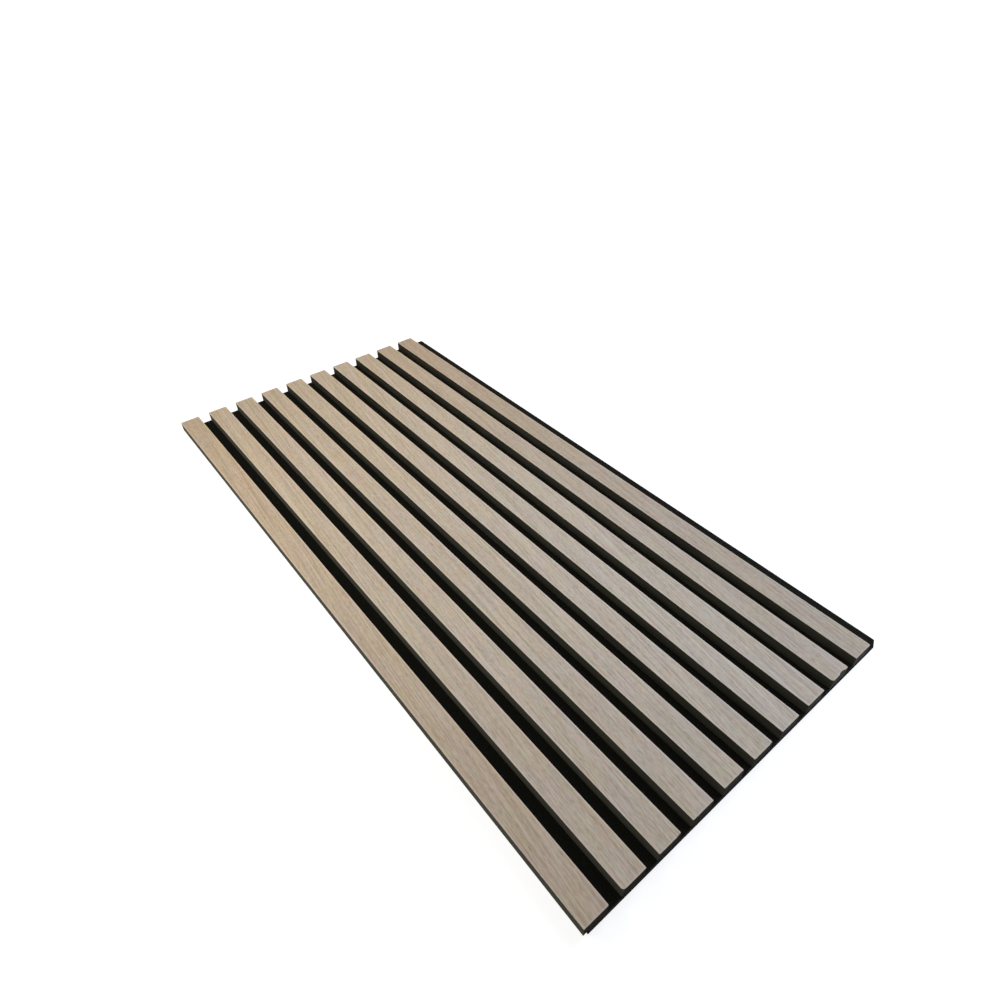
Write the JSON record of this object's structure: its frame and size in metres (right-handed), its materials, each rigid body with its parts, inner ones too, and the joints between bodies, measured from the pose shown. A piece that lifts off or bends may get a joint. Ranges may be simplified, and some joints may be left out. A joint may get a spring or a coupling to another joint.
{
  "type": "acoustic slat wall panel",
  "caption": "Wall panel of oak-faced black fibreboard slats stapled side by side to a black felt board, with a lapped edge that joins it to the next panel.",
  "frame": {"origin": "centre of the felt's back face, which lies against the wall", "axes": "+Z out of the panel's face, +Y along the slats, +X across them towards the felt ledge"},
  "size_m": [0.406, 0.81, 0.0226],
  "materials": {
    "black_felt": "pressed polyester felt, matt",
    "black_fibreboard": "dyed fibreboard, satin painted sides",
    "oak_veneer": "pale grey-washed oak, matt lacquer",
    "staple_wire": "galvanised wire"
  },
  "bodies": {
    "root": {"felt_backing": "black_felt", "slat_core_01": "black_fibreboard", "slat_core_02": "black_fibreboard", "slat_core_03": "black_fibreboard", "slat_core_04": "black_fibreboard", "slat_core_05": "black_fibreboard", "slat_core_06": "black_fibreboard", "slat_core_07": "black_fibreboard", "slat_core_08": "black_fibreboard", "slat_core_09": "black_fibreboard", "slat_core_10": "black_fibreboard", "slat_veneer_01": "oak_veneer", "slat_veneer_02": "oak_veneer", "slat_veneer_03": "oak_veneer", "slat_veneer_04": "oak_veneer", "slat_veneer_05": "oak_veneer", "slat_veneer_06": "oak_veneer", "slat_veneer_07": "oak_veneer", "slat_veneer_08": "oak_veneer", "slat_veneer_09": "oak_veneer", "slat_veneer_10": "oak_veneer", "back_staples": "staple_wire"}
  },
  "joints": []
}
